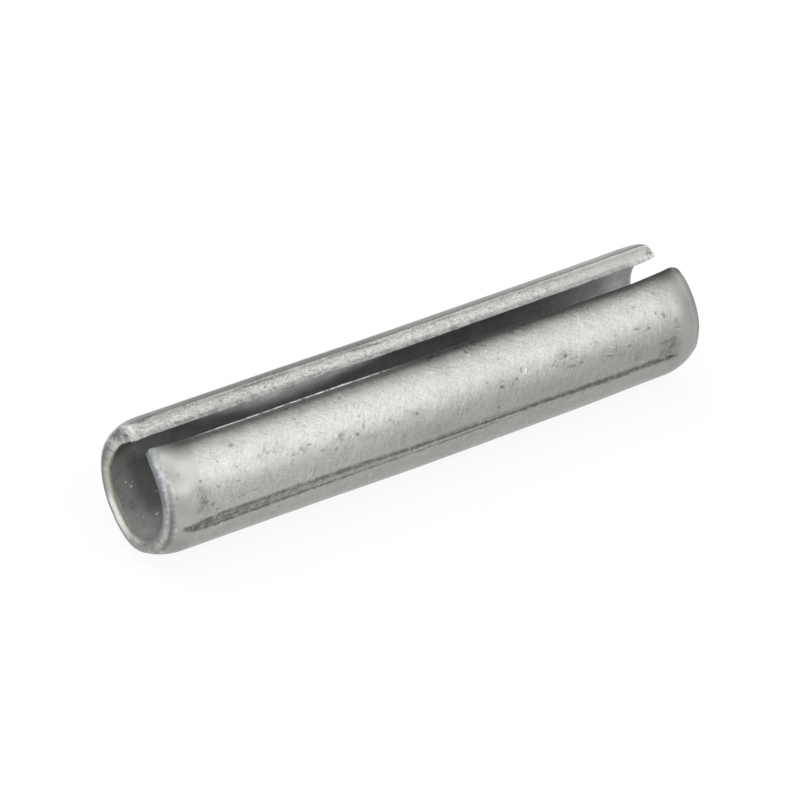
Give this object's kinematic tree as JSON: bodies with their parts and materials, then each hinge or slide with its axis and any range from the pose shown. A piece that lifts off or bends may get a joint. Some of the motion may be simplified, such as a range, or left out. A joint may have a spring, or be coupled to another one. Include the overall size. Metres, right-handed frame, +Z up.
{
  "type": "slotted spring roll pin",
  "caption": "Slotted spring pin: one rolled strip of steel with an open lengthwise slot and both ends swaged to a lead-in taper, pressed into a hole to lock or align parts.",
  "frame": {"origin": "on the pin's own axis, half way along its length", "axes": "+X along the pin, +Z straight up through the middle of the slot, +Y to the far lip; the pin lies on its side on the ground at z = -5.35 mm"},
  "size_m": [0.05, 0.0106, 0.0105],
  "materials": {
    "zinc_steel": "dull satin zinc grey, lightly mottled and worn"
  },
  "bodies": {
    "root": {"roll_pin": "zinc_steel"}
  },
  "joints": []
}
